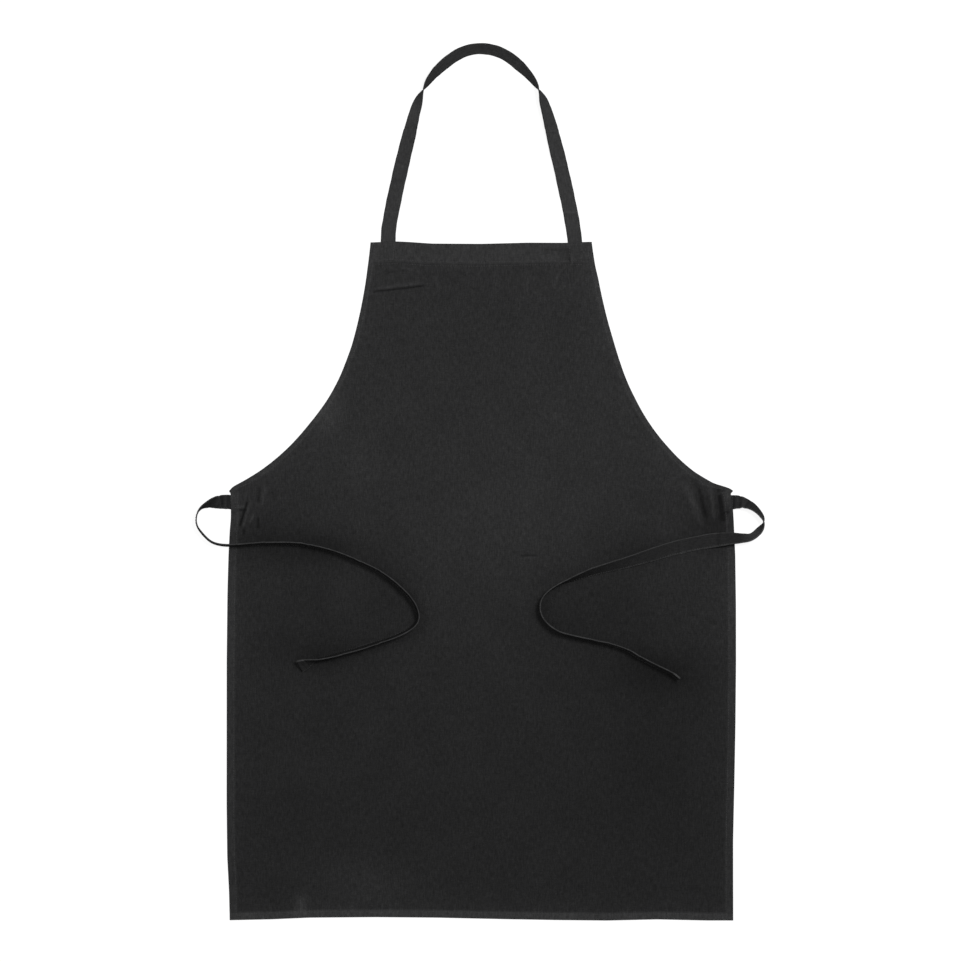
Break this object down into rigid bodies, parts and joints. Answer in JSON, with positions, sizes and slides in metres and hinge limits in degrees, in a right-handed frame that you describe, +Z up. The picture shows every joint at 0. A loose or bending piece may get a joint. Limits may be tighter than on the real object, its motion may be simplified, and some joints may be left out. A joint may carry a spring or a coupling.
{
  "type": "bib apron",
  "caption": "Full-length black cloth bib apron with a neck strap and waist ties, lying flat, face up; it keeps the front of the wearer's clothes clean.",
  "frame": {"origin": "on the surface that the apron lies on, under the middle of its outline, the waist ties left out", "axes": "+X to the right as the front is seen, +Y from the bottom hem towards the neck strap, +Z up out of the front of the cloth"},
  "size_m": [0.7596, 1.1654, 0.0215],
  "materials": {
    "cloth": "matte",
    "hem": "matte",
    "tape": "matte",
    "thread": "satin"
  },
  "bodies": {
    "skirt": {"skirt_panel": "cloth", "bottom_hem": "hem", "bottom_thread": "thread", "left_side_hem": "hem", "left_side_thread": "thread", "right_side_hem": "hem", "right_side_thread": "thread", "left_tie_sewn_end": "tape", "left_tie_tack": "thread", "left_tie_loop": "tape", "right_tie_sewn_end": "tape", "right_tie_tack": "thread", "right_tie_loop": "tape"},
    "bib": {"bib_panel": "cloth", "left_armhole_hem": "hem", "left_armhole_thread": "thread", "right_armhole_hem": "hem", "right_armhole_thread": "thread", "top_hem": "hem", "top_hem_upper_thread": "thread", "top_hem_lower_thread": "thread", "neck_strap_left_sewn_end": "tape", "neck_strap_left_tack": "thread", "neck_strap_right_sewn_end": "tape", "neck_strap_right_tack": "thread"},
    "neck_loop": {"neck_strap": "tape"},
    "left_tie": {"left_tie_tail": "tape", "left_tie_tip": "tape"},
    "right_tie": {"right_tie_tail": "tape", "right_tie_tip": "tape"}
  },
  "joints": [
    {"name": "bib_fold", "type": "hinge", "parent": "skirt", "child": "bib", "pos_m": [0, -0.0143, 0.003], "axis": [1, 0, 0], "range_deg": [0, 110]},
    {"name": "neck_strap_fold", "type": "hinge", "parent": "bib", "child": "neck_loop", "pos_m": [0, 0.319, 0.0025], "axis": [1, 0, 0], "range_deg": [0, 170]},
    {"name": "left_tie_swing", "type": "hinge", "parent": "skirt", "child": "left_tie", "pos_m": [-0.37999, -0.05095, 0.0098], "axis": [0, 0, 1], "range_deg": [-60, 20]},
    {"name": "right_tie_swing", "type": "hinge", "parent": "skirt", "child": "right_tie", "pos_m": [0.37347, -0.05062, 0.0098], "axis": [0, 0, 1], "range_deg": [-20, 60]}
  ]
}
